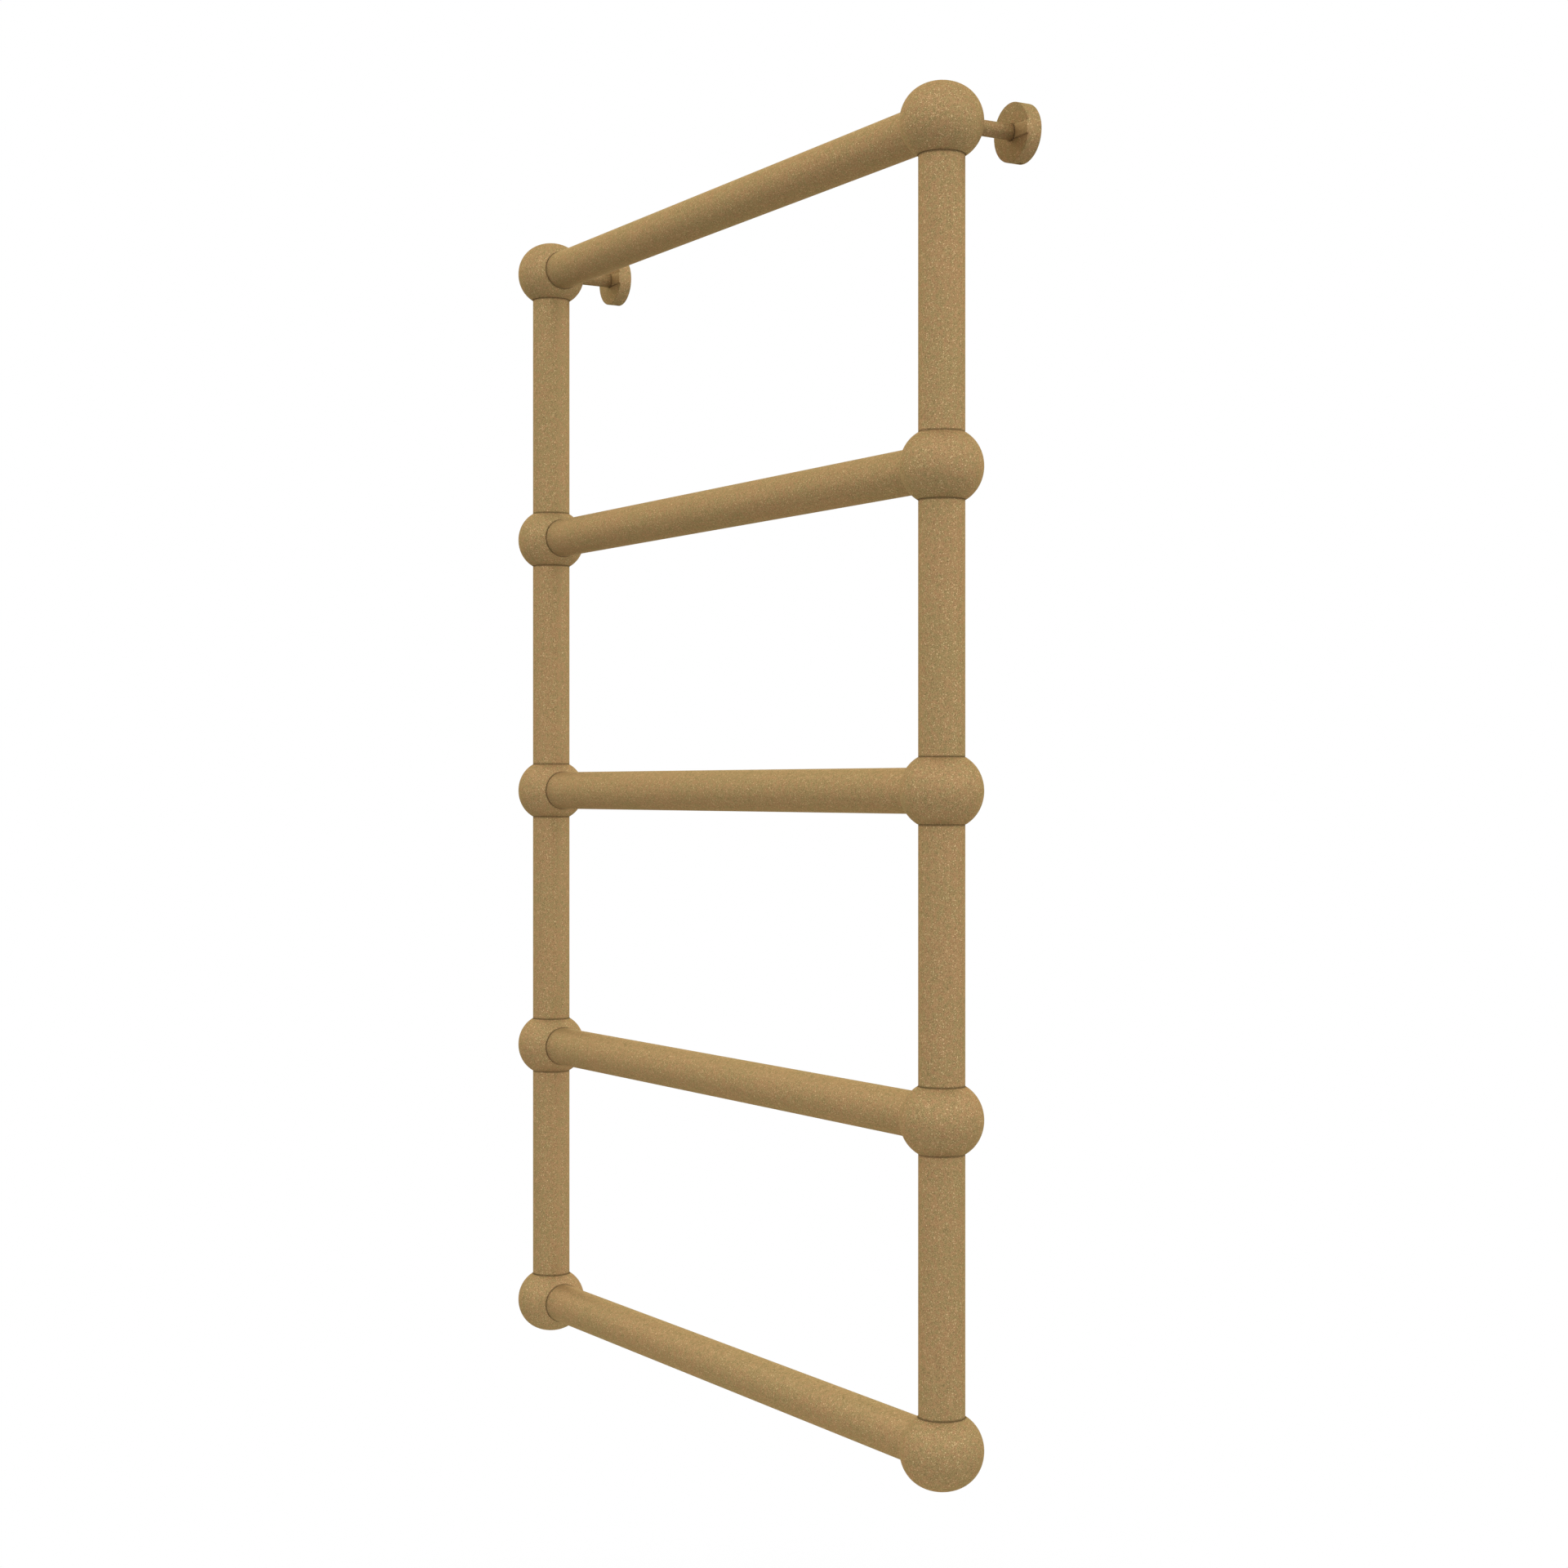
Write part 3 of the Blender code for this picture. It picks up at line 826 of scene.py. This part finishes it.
def build_standoff(side_name):
    """A stepped hollow rod from the wall, along minus Y, to the ball."""
    node = f"standoff_{side_name}"
    low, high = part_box(node)
    nose, tail = -low.y, -high.y
    seat = -rack_y - ROD_SEAT - CLEARANCE
    shoulder = rose_depth + SHOULDER_GAP
    edge = SHOULDER_EDGE
    loop = [(THREAD_RADIUS - 2 * edge, nose)]
    loop += thread_rows(seat, nose - edge)[::-1]
    loop += round_corner((rod_radius - edge, seat - edge), edge, 90, 0, steps=3)
    loop += straight((rod_radius, seat - 2 * edge), (rod_radius, shoulder + 2 * edge), ROD_ROWS)
    loop += round_corner((rod_radius - edge, shoulder + edge), edge, 0, -90, steps=3)
    loop += thread_rows(tail + edge, shoulder)[::-1]
    loop += [(THREAD_RADIUS - 2 * edge, tail), (LEAD_BORE, tail), (LEAD_BORE, nose)]
    grid = turned(loop + loop[:1], -Y_AXIS, wall_point(node), ROD_COLUMNS)

    # The brass finish uses this distance to paint shade where the rod meets ball and rose.
    def distance(points):
        along = -points[:, 1]
        visible = -rack_y - math.sqrt(ball_radius ** 2 - rod_radius ** 2)
        return np.maximum(np.minimum(visible - along, along - shoulder), 0)

    piece_from(grid, node, rod_brass, distance)


for side_name in SIDES:
    build_standoff(side_name)
print("standoff radius", round(rod_radius / MM, 2))

# %% [markdown]
# ## The wall roses
#
# A rose is a cup turned from bar: a flat front with a hole for the standoff, a plain rim
# with softly broken edges, and a hollow that swallows the bracket. A low rib stands out of
# the front, from the standoff to the edge. The lathe can't make it, but the same grid can:
# its front points move out by a height that depends on where they are. The grub screw's
# hole goes through the rim from below, so it is drilled afterwards.

# %% Roses
ROSE_FRONT = 3.0 * MM
ROSE_RIM = 2.5 * MM
ROSE_EDGE = 0.5 * MM
ROSE_BACK_EDGE = 0.2 * MM
ROSE_ROWS = 72
ROSE_COLUMNS = 384
RIB_HALF_WIDTH = 4.6 * MM
RIB_DOME = 0.2
RIB_SLOPE = 0.5 * MM
RIB_START = 0.3 * MM
GRUB_RADIUS = 2.0 * MM


def rib_height(across, up):
    """How far the rib stands out at a place on the front, measured from the rose's axis.

    It climbs from either side over the width of its slope, is a little domed between them,
    and starts just clear of the standoff, with a steeper climb.
    """
    inside = (RIB_HALF_WIDTH - abs(up)) / RIB_SLOPE
    dome = 1 - RIB_DOME + RIB_DOME * np.clip(1 - (up / RIB_HALF_WIDTH) ** 2, 0, 1)
    clear = (np.hypot(across, up) - rod_radius - CLEARANCE) / RIB_START
    return RIB_HEIGHT * dome * smooth_step(inside) * smooth_step(clear) * (across > 0)


def build_rose(side_name):
    """A cup open to the wall, with its axis along minus Y and a rib on its front."""
    node = f"wall_rose_{side_name}"
    outer = half_span(node, 0)
    hole = THREAD_RADIUS + CLEARANCE
    front = straight((hole, rose_depth), (outer - ROSE_EDGE, rose_depth), ROSE_ROWS)
    front += round_corner((outer - ROSE_EDGE, rose_depth - ROSE_EDGE), ROSE_EDGE, 90, 0)[1:]
    edge = ROSE_BACK_EDGE
    back = round_corner((outer - edge, edge), edge, 0, -90, steps=3)
    back += [(outer - ROSE_RIM, 0), (outer - ROSE_RIM, rose_depth - ROSE_FRONT)]
    back += [(hole, rose_depth - ROSE_FRONT), (hole, rose_depth)]
    place = wall_point(node)
    grid = turned(front + back, -Y_AXIS, place, ROSE_COLUMNS)
    rows = len(front)
    grid[:rows, :, 1] -= rib_height(grid[:rows, :, 0] - place[0], grid[:rows, :, 2] - place[2])
    cup = mesh_from_grids(node, [grid])
    grub = middle(f"rose_grub_screw_{side_name}")
    drill = closed_rod(GRUB_RADIUS + CLEARANCE, outer - ROSE_RIM - MM, outer + MM,
                       -Z_AXIS, (grub.x, grub.y, place[2]))
    mesh = bored(cup, [drill])

    # The brass finish uses this distance to paint shade round the standoff and a painted shadow of
    # the rib below it.
    def distance(points):
        across, up = points[:, 0] - place[0], points[:, 2] - place[2]
        from_rod = np.maximum(np.hypot(across, up) - rod_radius, 0)
        below_rib = -RIB_HALF_WIDTH - up
        under_rib = (across > 0) & (below_rib >= 0) & (-points[:, 1] > rose_depth - ROSE_EDGE)
        return np.minimum(from_rod, np.where(under_rib, below_rib, FAR))

    piece = piece_from(mesh, node, rose_brass, distance)
    # How far the rib stands out, which the rose's finish turns into a painted highlight.
    raised = (-vertex_array(piece.data)[:, 1] - rose_depth) / RIB_HEIGHT
    store(piece.data, "raised", np.clip(raised, 0, 1))


for side_name in SIDES:
    build_rose(side_name)
print("2 roses")

# %% [markdown]
# ## Steel, rubber and bright brass
#
# The rest is out of sight until the rack is taken apart, but it gets its own finishes. The
# brackets are steel with a dull zinc coat, the nuts are bright turned brass, and the
# cables have silicone sheaths with a little talc left on them.

# %% Finishes of the hidden pieces


def turned_metal(name, light, dark, roughness, blotch_size):
    """A turned metal: rings from the tool under blotches that time or a coating left."""
    finish = Finish(name, metallic=1.0, roughness=roughness)
    blotches = finish.noise(1 / blotch_size, detail=4)
    grain = finish.noise(1600, detail=2)
    rings = finish.rings(0.15 * MM)
    color = finish.blend(blotches.rise(0.35, 0.65), light, dark)
    color = finish.blend(grain.rise(0.60, 0.80) * 0.3, color, dark)
    finish.coat(color, roughness + blotches * 0.15 - rings * 0.08)
    finish.bump(rings + grain * 0.5, 0.03 * MM, 0.5)
    return finish.material


def rubber(name, light, dark, bloom, roughness):
    """A matt sheath: a slow drift of colour, fine grain and a pale bloom in patches."""
    finish = Finish(name, metallic=0.0, roughness=roughness)
    drift = finish.noise(45, detail=3)
    grain = finish.noise(1500, detail=2)
    patches = finish.noise(260, detail=4).rise(0.55, 0.80)
    color = finish.blend(drift.rise(0.30, 0.70), light, dark)
    color = finish.blend(patches * (0.3 + grain * 0.3), color, bloom)
    finish.coat(color, roughness + patches * 0.15 + grain * 0.08)
    finish.bump(grain * 0.7 + drift * 0.3, 0.05 * MM, 0.5)
    return finish.material


zinc_steel = turned_metal("zinc_steel", (0.60, 0.61, 0.62), (0.42, 0.43, 0.44), 0.38, 6 * MM)
bright_brass = turned_metal("bright_brass", (0.78, 0.60, 0.30), (0.60, 0.42, 0.18), 0.28, 4 * MM)
red_silicone = rubber(
    "red_silicone", (0.40, 0.030, 0.020), (0.28, 0.020, 0.014), (0.55, 0.30, 0.27), 0.50
)
white_silicone = rubber(
    "white_silicone", (0.72, 0.70, 0.65), (0.62, 0.60, 0.54), (0.82, 0.81, 0.78), 0.48
)
black_sleeve = rubber(
    "black_sleeve", (0.018, 0.018, 0.018), (0.010, 0.010, 0.010), (0.06, 0.06, 0.06), 0.42
)
black_silicone = rubber(
    "black_silicone", (0.028, 0.028, 0.030), (0.018, 0.018, 0.020), (0.10, 0.10, 0.10), 0.55
)
print("hidden finishes: zinc_steel, bright_brass, red, white and black rubber")

# %% [markdown]
# ## What the roses hide
#
# Each rose covers a bracket, a nut and a grub screw. The bracket is a turned ring, drilled
# for two countersunk screws and for the tip of the grub screw. The nut and the grub
# screw's socket have six sides, and a hexagon fits the same kind of grid: its radius
# swings between its flat and its corner six times in a turn.

# %% Brackets, nuts and grub screws
BRACKET_OPENING = 8.9 * MM
BRACKET_EDGE = 0.3 * MM
SCREW_SPREAD = 13.2 * MM
SCREW_HOLE = 2.1 * MM
SCREW_HEAD = 3.9 * MM
CHAMFER_SLOPE = math.tan(math.radians(30))
CHAMFER_ROWS = 8
NUT_GROOVES = 4
GRUB_PITCH = 0.7 * MM
GRUB_THREAD = 0.25 * MM
GRUB_THREAD_ROWS = 40
GRUB_EDGE = 0.3 * MM
GRUB_CUP = 0.4 * MM
KEY_FLAT = 1.0 * MM
KEY_RIM = 1.3 * MM
KEY_DEPTH = 1.6 * MM
HEXAGON_COLUMNS = 72


def hexagon_radius(flat):
    """A hexagon's radius at every turn: its flat over the cosine of the turn from it."""
    turn = full_turn(HEXAGON_COLUMNS)
    from_flat = (turn + np.pi / 6) % (np.pi / 3) - np.pi / 6
    return flat / np.cos(from_flat)


def store_from_axis(piece, place):
    """Keep each point's distance from the axis through a place on the wall, for the rings."""
    away = vertex_array(piece.data) - place
    store(piece.data, "from_axis", np.hypot(away[:, 0], away[:, 2]))


def build_bracket(side_name):
    """A turned ring with broken edges, with its screw holes and the grub screw's pit."""
    node = f"wall_bracket_{side_name}"
    outer, front, edge = half_span(node, 0), -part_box(node)[0].y, BRACKET_EDGE
    rim, opening = outer - edge, BRACKET_OPENING + edge
    corners = [(rim, front - edge, 90), (rim, edge, 0), (opening, edge, -90),
               (opening, front - edge, -180)]
    loop = []
    for radius, along, start in corners:
        loop += round_corner((radius, along), edge, start, start - 90, steps=4)
    place = np.array([middle(node).x, 0, rung_heights[0]])
    ring = mesh_from_grids(node, [turned(loop + loop[:1], -Y_AXIS, place)])
    cone_end = front - MM - (SCREW_HEAD - SCREW_HOLE)
    screw = [(0, front + MM), (SCREW_HEAD, front + MM), (SCREW_HEAD, front - MM)]
    screw += [(SCREW_HOLE, cone_end), (SCREW_HOLE, -MM), (0, -MM)]
    cuts = [turned(screw, -Y_AXIS, place + sign * SCREW_SPREAD * X_AXIS, DRILL_COLUMNS)
            for sign in (-1, 1)]
    grub = f"rose_grub_screw_{side_name}"
    tip = place[2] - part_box(grub)[1].z - CLEARANCE
    cuts.append(closed_rod(GRUB_RADIUS + CLEARANCE, tip, outer + MM, -Z_AXIS,
                           (place[0], middle(grub).y, place[2])))
    store_from_axis(piece_from(bored(ring, cuts), node, zinc_steel), place)


def build_nut(side_name):
    """A hexagon nut whose corners are turned off at thirty degrees on both faces.

    Its radius is the hexagon's or, if that is less, the flat plus the distance to the
    nearer face over the slope.
    """
    node = f"standoff_nut_{side_name}"
    low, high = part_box(node)
    flat, back, front = half_span(node, 0), -high.y, -low.y
    hexagon = hexagon_radius(flat)
    reach = (hexagon.max() - flat) * CHAMFER_SLOPE
    climb = np.linspace(0, reach, CHAMFER_ROWS + 1)
    along = np.concatenate([front - climb, back + climb[::-1]])
    to_face = np.minimum(front - along, along - back)
    flanks = np.minimum(hexagon, flat + to_face[:, None] / CHAMFER_SLOPE)
    threads = np.linspace(back, front, THREAD_ROWS * NUT_GROOVES + 1)
    grooves = THREAD_DEPTH * groove_share(threads, (front - back) / NUT_GROOVES)
    bore = np.repeat((THREAD_RADIUS + CLEARANCE + grooves)[:, None], HEXAGON_COLUMNS, axis=1)
    radius = np.concatenate([flanks, bore, flanks[:1]])
    along = np.concatenate([along, threads, along[:1]])
    place = wall_point(node)
    grid = swung(radius, along, -Y_AXIS, place)
    store_from_axis(piece_from(grid, node, bright_brass), place)


def build_grub_screw(side_name):
    """A headless screw: a cupped tip, a thread on its side and a six-sided socket."""
    node = f"rose_grub_screw_{side_name}"
    length, radius = 2 * half_span(node, 2), half_span(node, 0)
    rim = radius - GRUB_EDGE
    threads = np.linspace(GRUB_EDGE, length - GRUB_EDGE, GRUB_THREAD_ROWS + 1)
    side = [(0, GRUB_CUP), (radius / 2, 0), (rim, 0)]
    side += zip(radius - GRUB_THREAD * groove_share(threads, GRUB_PITCH), threads)
    side += [(rim, length), (KEY_RIM, length)]
    outside, along = np.array(side).T
    socket = np.repeat(hexagon_radius(KEY_FLAT)[None], 2, axis=0)
    outside = np.repeat(outside[:, None], HEXAGON_COLUMNS, axis=1)
    pole = np.zeros((1, HEXAGON_COLUMNS))
    depths = length - np.array([0, KEY_DEPTH, KEY_DEPTH + GRUB_CUP])
    radii = np.concatenate([outside, socket, pole])
    place = (middle(node).x, middle(node).y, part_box(node)[1].z)
    grid = swung(radii, np.concatenate([along, depths]), -Z_AXIS, place)
    piece_from(grid, node, rose_brass)


for side_name in SIDES:
    build_bracket(side_name)
    build_nut(side_name)
    build_grub_screw(side_name)
print("brackets, nuts and grub screws behind both roses")

# %% [markdown]
# ## The cables
#
# The lead comes in from the wall through the right standoff. In the top rung it meets the
# heating cable, which then winds down through posts and rungs to its sealed end. A cable
# is a circle swept along a route. The route lies in one plane, so the circle needs no
# twist: one of its directions is the plane's normal all along.

# %% Cables
CABLE_BEND = 30.0 * MM
LEAD_BEND = 13.5 * MM
CABLE_EDGE = 0.5 * MM
BEND_STEPS = 24
EASE_STEPS = 4
CABLE_COLUMNS = 32


def rounded_route(corners, bend):
    """Points and directions along a route with round corners, and its first and last ways.

    Every corner is a quarter circle. At an angle into it, the direction is the cosine times
    the way before plus the sine times the way after. The point is the circle's centre, less
    the bend's radius times (the cosine times the way after less the sine times the way
    before).
    """
    legs = np.diff(corners, axis=0)
    ways = legs / np.linalg.norm(legs, axis=1, keepdims=True)
    angle = np.linspace(0, np.pi / 2, BEND_STEPS + 1)[:, None]
    points, directions = [], []
    for corner, before, after in zip(corners[1:-1], ways, ways[1:]):
        center = corner + bend * (after - before)
        points.append(center - bend * (np.cos(angle) * after - np.sin(angle) * before))
        directions.append(np.cos(angle) * before + np.sin(angle) * after)
    return np.concatenate(points), np.concatenate(directions), ways[0], ways[-1]


def swept(corners, bend, radius, normal):
    """A round cable along a route, with eased ends that close in a pole.

    A point is the route's point, plus the radius times (the cosine of the turn times the
    plane's normal, and its sine times the normal crossed with the route's direction).
    """
    corners = np.array(corners)
    centers, along, first_way, last_way = rounded_route(corners, bend)
    ease = np.linspace(0, np.pi / 2, EASE_STEPS + 1)
    end_radius = np.append(0, radius - CABLE_EDGE * (1 - np.sin(ease)))
    from_end = np.append(0, CABLE_EDGE * (1 - np.cos(ease)))[:, None]
    start = corners[0] + from_end * first_way
    end = corners[-1] - from_end[::-1] * last_way
    rows = (len(end_radius), 1)
    radii = np.concatenate([end_radius, np.full(len(centers), radius), end_radius[::-1]])
    centers = np.concatenate([start, centers, end])
    along = np.concatenate([np.tile(first_way, rows), along, np.tile(last_way, rows)])
    aside = np.cross(normal, along)[:, None]
    turn = full_turn(CABLE_COLUMNS)[:, None]
    ring = np.cos(turn) * normal + np.sin(turn) * aside
    return centers[:, None] + radii[:, None, None] * ring


def winding_route():
    """The heating cable's corners, down the rack from side to side."""
    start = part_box("cable_joint_sleeve")[0].x - CLEARANCE
    corners = [(start, rack_y, rung_heights[0])]
    side = -1
    for above, below in zip(rung_heights, rung_heights[1:]):
        corners += [(side * post_x, rack_y, above), (side * post_x, rack_y, below)]
        side = -side
    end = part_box("cable_end_cap")[1].x + CLEARANCE
    return corners + [(end, rack_y, rung_heights[-1])]


cable_radius = half_span("heating_cable", 1)
grid = swept(winding_route(), CABLE_BEND, cable_radius, Y_AXIS)
piece_from(grid, "heating_cable", red_silicone)

lead_low, lead_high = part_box("supply_lead")
lead_radius = half_span("supply_lead", 2)
lead_way = [(post_x, lead_high.y), (post_x, rack_y), (lead_low.x, rack_y)]
grid = swept([(x, y, rung_heights[0]) for x, y in lead_way], LEAD_BEND, lead_radius, Z_AXIS)
piece_from(grid, "supply_lead", white_silicone)
print("cable radius", round(cable_radius / MM, 2), "lead radius", round(lead_radius / MM, 2))

# %% The sleeve between them and the sealed end
SLEEVE_NECK = 7.0 * MM
SLEEVE_SWAY = 0.12 * MM
SLEEVE_WAVES = 3
SLEEVE_ROWS = 96
SLEEVE_COLUMNS = 48
CAP_RIB = 0.35 * MM
CAP_RIB_PLACES = (2.5 * MM, 6.5 * MM)
CAP_RIB_REACH = 1.2 * MM
CAP_EDGE = 0.3 * MM
CAP_ROWS = 64


def build_sleeve():
    """A shrunk sleeve: full in the middle, and drawn down to the cables at both ends.

    Between the ends its radius sways in and out, as over the crimps beneath it.
    """
    node = "cable_joint_sleeve"
    length, radius = 2 * half_span(node, 0), half_span(node, 2)
    along = np.linspace(0, length, SLEEVE_ROWS + 1)
    neck_low = cable_radius + (radius - cable_radius) * smooth_step(along / SLEEVE_NECK)
    neck_high = lead_radius + (radius - lead_radius) * smooth_step((length - along) / SLEEVE_NECK)
    sway = 2 * SLEEVE_SWAY * groove_share(along, length / SLEEVE_WAVES)
    outside = np.minimum(neck_low, neck_high) - sway
    profile = [(0, 0), *zip(outside, along), (0, length)]
    place = (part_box(node)[0].x, rack_y, rung_heights[0])
    piece_from(turned(profile, X_AXIS, place, SLEEVE_COLUMNS), node, black_sleeve)


def build_end_cap():
    """A moulded cap: two low ribs near its open end, and a round nose."""
    node = "cable_end_cap"
    length, body = 2 * half_span(node, 0), half_span(node, 2) - CAP_RIB
    along = np.linspace(CAP_EDGE, length - body, CAP_ROWS + 1)
    ribs = sum(smooth_step(1 - abs(along - rib) / CAP_RIB_REACH) for rib in CAP_RIB_PLACES)
    profile = [(0, 0), (body - CAP_EDGE, 0), *zip(body + CAP_RIB * ribs, along)]
    profile += round_corner((0, length - body), body, 0, 90, steps=12)[1:]
    place = (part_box(node)[1].x, rack_y, rung_heights[-1])
    piece_from(turned(profile, -X_AXIS, place, SLEEVE_COLUMNS), node, black_silicone)


build_sleeve()
build_end_cap()
print(len(fine_pieces), "fine pieces in all")

# %% [markdown]
# ## The stage
#
# The rack hangs in a bright, even room. A wide dome of light does nearly all the work: it
# is brightest overhead and falls off towards the floor, which is what shades the rungs
# softly from top to bottom. It is given as pairs, from straight below to overhead, of a
# position and a brightness. The camera itself sees plain white behind the rack. A pale
# floor lies below, fading out at its rim so that no edge shows.

# %% Light and floor
DOME = ((0.0, 0.16), (0.28, 0.62), (0.46, 1.07), (0.74, 1.53), (1.0, 1.32))
DOME_POLE = (0.06, 0.10, 0.99)
WHITE = (1, 1, 1)
FLOOR_BELOW = 0.58
FLOOR_RADIUS = 1.7
FLOOR_ROWS = 24
FLOOR_GREY = (0.62, 0.62, 0.61)
FLOOR_PALE = (0.66, 0.66, 0.65)
SOFTBOX_PLACE = (0.9, -0.2, 2.2)
SOFTBOX_SIZE = 2.4
SOFTBOX_POWER = 6


def add_dome():
    """Light from all round, brighter towards a pole overhead, and plain white to the camera."""
    world = bpy.data.worlds.new("dome")
    bpy.context.scene.world = world
    dome = Nodes(world)
    direction = dome.node("ShaderNodeTexCoord").outputs["Generated"]
    along = dome.node(
        "ShaderNodeVectorMath", {"operation": "DOT_PRODUCT"}, {0: direction, 1: DOME_POLE}
    )
    height = dome.node("ShaderNodeMapRange", {}, {"Value": along.outputs["Value"], "From Min": -1})
    glow = dome.node("ShaderNodeValToRGB", {"stops": DOME}, {"Fac": height.outputs["Result"]})
    seen = dome.node("ShaderNodeLightPath").outputs["Is Camera Ray"]
    choice = dome.node(
        "ShaderNodeMix", {"data_type": "RGBA"}, {0: seen, 6: glow.outputs["Color"], 7: WHITE}
    )
    dome.put(dome.tree.nodes["Background"].inputs["Color"], choice.outputs[2])


def add_floor():
    """A round pale floor that fades out towards its rim."""
    center = np.array([0, rack_y, cad_low.z - FLOOR_BELOW])
    profile = straight((0, 0), (FLOOR_RADIUS, 0), FLOOR_ROWS)
    mesh = mesh_from_grids("floor", [turned(profile, Z_AXIS, center)])
    points = vertex_array(mesh) - center
    store(mesh, "reach", np.hypot(points[:, 0], points[:, 1]) / FLOOR_RADIUS)
    finish = Finish("pale_floor", metallic=0.0, roughness=0.8)
    grain = finish.noise(35, detail=3)
    color = finish.blend(grain, FLOOR_GREY, FLOOR_PALE)
    finish.put(finish.shader.inputs["Base Color"], color)
    finish.put(finish.shader.inputs["Alpha"], 1 - finish.stored("reach").rise(0.35, 1.0))
    mesh.materials.append(finish.material)
    placed("floor", mesh)


def add_softbox():
    """A large square light above and to the right, pointing at the rack's middle."""
    lamp = bpy.data.lights.new("softbox_above", "AREA")
    lamp.size = SOFTBOX_SIZE
    lamp.energy = SOFTBOX_POWER
    light = placed("softbox_above", lamp)
    light.location = SOFTBOX_PLACE
    light.visible_glossy = False
    aim = Vector(rack_middle) - Vector(SOFTBOX_PLACE)
    light.rotation_euler = aim.to_track_quat("-Z", "Y").to_euler()


add_dome()
add_floor()
add_softbox()
print("a dome of light, a round floor and one softbox")
bpy.context.scene.view_settings.view_transform = "Standard"
bpy.context.scene.view_settings.look = "None"
